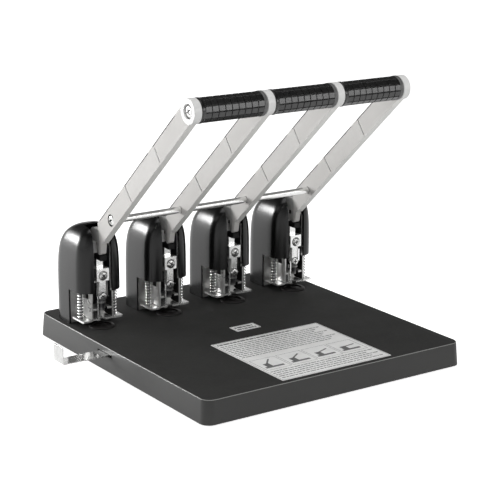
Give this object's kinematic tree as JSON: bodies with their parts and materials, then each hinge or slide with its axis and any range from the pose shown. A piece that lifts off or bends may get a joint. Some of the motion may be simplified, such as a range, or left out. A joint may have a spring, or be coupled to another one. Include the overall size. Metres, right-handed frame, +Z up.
{
  "type": "four-hole punch",
  "caption": "Desk lever punch with a flat base, a row of four punch heads and one bar handle over them.",
  "frame": {"origin": "on the table under the middle of the row of punches, on the underside of the bottom cover", "axes": "+X along the row of heads, +Y from the operator to the back, +Z up"},
  "size_m": [0.3527, 0.321, 0.2838],
  "materials": {
    "base": "satin charcoal",
    "bottom": "dull black",
    "cover": "glossy black",
    "plated": "bright plated steel",
    "spring": "bright spring wire",
    "tool_steel": "dark oxide",
    "disc": "dull black",
    "arm": "pale silver paint",
    "grip": "shiny black rubber"
  },
  "bodies": {
    "base": {"cover_1": "cover", "cover_2": "cover", "cover_3": "cover", "cover_4": "cover", "head_frame_1": "plated", "head_frame_2": "plated", "head_frame_3": "plated", "head_frame_4": "plated", "foot_plate_1": "plated", "foot_plate_2": "plated", "foot_plate_3": "plated", "foot_plate_4": "plated", "return_spring_left_1": "spring", "return_spring_left_2": "spring", "return_spring_left_3": "spring", "return_spring_left_4": "spring", "return_spring_right_1": "spring", "return_spring_right_2": "spring", "return_spring_right_3": "spring", "return_spring_right_4": "spring", "cutting_disc_1": "disc", "cutting_disc_2": "disc", "cutting_disc_3": "disc", "cutting_disc_4": "disc", "pivot_pin_1": "plated", "pivot_pin_2": "plated", "pivot_pin_3": "plated", "pivot_pin_4": "plated", "base_shell": "base", "bottom_mat": "bottom"},
    "lever": {"lever_arm_1": "arm", "lever_arm_2": "arm", "lever_arm_3": "arm", "lever_arm_4": "arm", "grip_1": "grip", "grip_2": "grip", "grip_3": "grip", "handle_tube": "plated", "cross_rod": "plated", "handle_screw_left": "plated", "handle_screw_right": "plated", "rod_screw_left": "plated", "rod_screw_right": "plated"},
    "carriage_body_1": {"carriage_1": "plated", "punch_pin_1": "tool_steel", "clamp_screw_1": "plated", "set_screw_1": "plated"},
    "carriage_body_2": {"carriage_2": "plated", "punch_pin_2": "tool_steel", "clamp_screw_2": "plated", "set_screw_2": "plated"},
    "carriage_body_3": {"carriage_3": "plated", "punch_pin_3": "tool_steel", "clamp_screw_3": "plated", "set_screw_3": "plated"},
    "carriage_body_4": {"carriage_4": "plated", "punch_pin_4": "tool_steel", "clamp_screw_4": "plated", "set_screw_4": "plated"},
    "gauge": {"paper_gauge": "plated"}
  },
  "joints": [
    {"name": "handle_hinge", "type": "hinge", "parent": "base", "child": "lever", "pos_m": [0, 0.021, 0.0973], "axis": [1, 0, 0], "range_deg": [0, 36], "stiffness_Nm_per_rad": 6, "springref_deg": -68.75},
    {"name": "punch_slide_1", "type": "slide", "parent": "base", "child": "carriage_body_1", "axis": [0, 0, -1], "range_m": [0, 0.0156], "deforming": ["return_spring_left_1", "return_spring_right_1"]},
    {"name": "punch_slide_2", "type": "slide", "parent": "base", "child": "carriage_body_2", "axis": [0, 0, -1], "range_m": [0, 0.0156], "deforming": ["return_spring_left_2", "return_spring_right_2"]},
    {"name": "punch_slide_3", "type": "slide", "parent": "base", "child": "carriage_body_3", "axis": [0, 0, -1], "range_m": [0, 0.0156], "deforming": ["return_spring_left_3", "return_spring_right_3"]},
    {"name": "punch_slide_4", "type": "slide", "parent": "base", "child": "carriage_body_4", "axis": [0, 0, -1], "range_m": [0, 0.0156], "deforming": ["return_spring_left_4", "return_spring_right_4"]},
    {"name": "gauge_slide", "type": "slide", "parent": "base", "child": "gauge", "axis": [1, 0, 0], "range_m": [-0.02, 0.046]}
  ],
  "couplings": [
    {"joint": "punch_slide_1", "follows": "handle_hinge", "m_per_rad": 0.0246},
    {"joint": "punch_slide_2", "follows": "handle_hinge", "m_per_rad": 0.0246},
    {"joint": "punch_slide_3", "follows": "handle_hinge", "m_per_rad": 0.0246},
    {"joint": "punch_slide_4", "follows": "handle_hinge", "m_per_rad": 0.0246}
  ]
}
